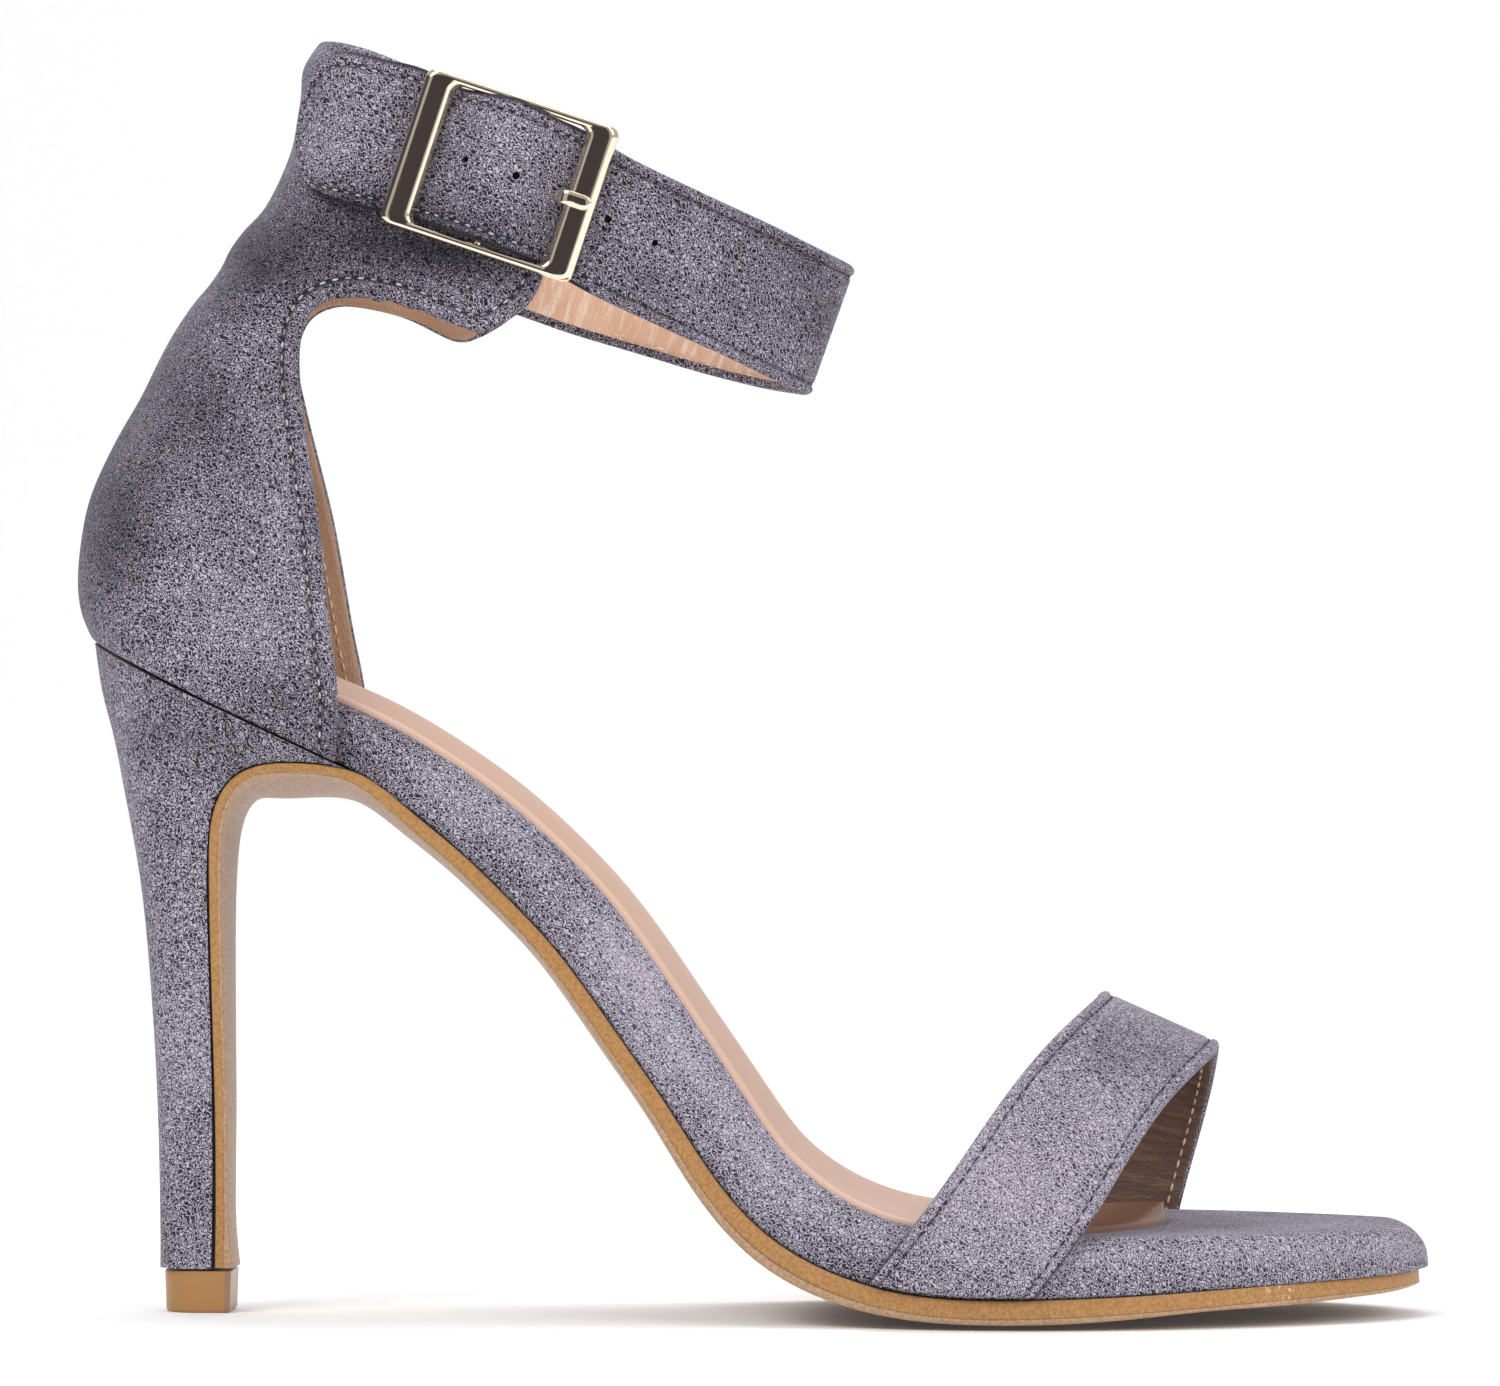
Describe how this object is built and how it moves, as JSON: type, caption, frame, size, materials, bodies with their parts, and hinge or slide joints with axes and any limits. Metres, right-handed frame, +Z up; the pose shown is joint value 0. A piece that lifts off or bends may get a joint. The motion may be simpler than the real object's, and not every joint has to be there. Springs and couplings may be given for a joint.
{
  "type": "ankle strap sandal",
  "caption": "Open-toe stiletto sandal with a closed heel counter, a buckled ankle strap, a band over the toes and a tan sole.",
  "frame": {"origin": "centre of the shoe's outline on the floor it stands on", "axes": "+X from heel to toe, +Y to the inner (medial) side of the right foot, +Z up"},
  "size_m": [0.2202, 0.0828, 0.2075],
  "materials": {
    "bed_suede": "matte brushed nap",
    "sock_lining": "smooth satin",
    "outsole_tan": "smooth satin",
    "heel_suede": "matte brushed nap",
    "tip_tan": "moulded satin",
    "upper_suede": "matte brushed nap",
    "toe_strap_suede": "matte brushed nap",
    "frame_metal": "polished pale gold plate",
    "prong_metal": "polished pale gold plate"
  },
  "bodies": {
    "root": {"insole_bed": "bed_suede", "sock": "sock_lining", "outsole": "outsole_tan", "heel": "heel_suede", "heel_tip": "tip_tan", "counter_and_ankle_strap": "upper_suede", "toe_strap": "toe_strap_suede", "buckle_frame": "frame_metal", "buckle_prong": "prong_metal"}
  },
  "joints": []
}
